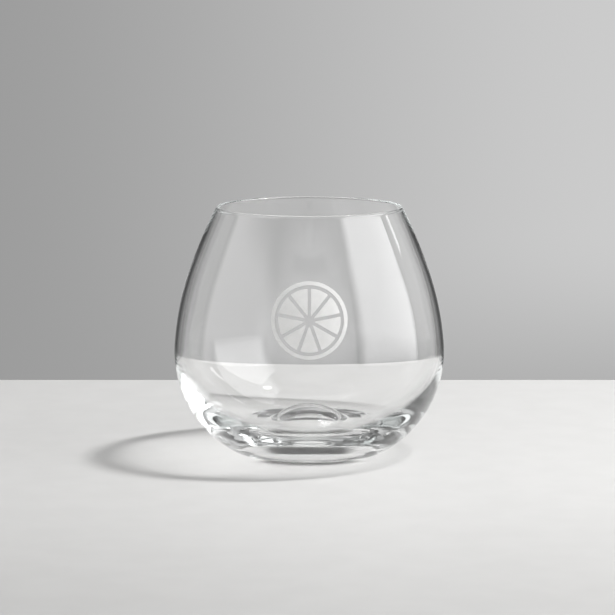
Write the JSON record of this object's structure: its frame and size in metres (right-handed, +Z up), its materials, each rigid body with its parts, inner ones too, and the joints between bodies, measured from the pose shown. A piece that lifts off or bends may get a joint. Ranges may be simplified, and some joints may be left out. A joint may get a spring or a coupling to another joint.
{
  "type": "gin glass",
  "caption": "Stemless gin glass: a clear blown tumbler with a full belly, narrowed mouth, thick rounded heel and kicked-up base, with a satin citrus-slice print fired onto its front.",
  "frame": {"origin": "on the glass's axis, in the plane of the ring that it stands on", "axes": "+Z up along the axis of the glass; the print faces -Y; +X to the right of someone looking at the print"},
  "size_m": [0.1, 0.1, 0.091],
  "materials": {
    "clear_glass": "clear, fire-polished",
    "print_enamel": "satin, fired on"
  },
  "bodies": {
    "root": {"glass_body": "clear_glass", "fired_print": "print_enamel"}
  },
  "joints": []
}
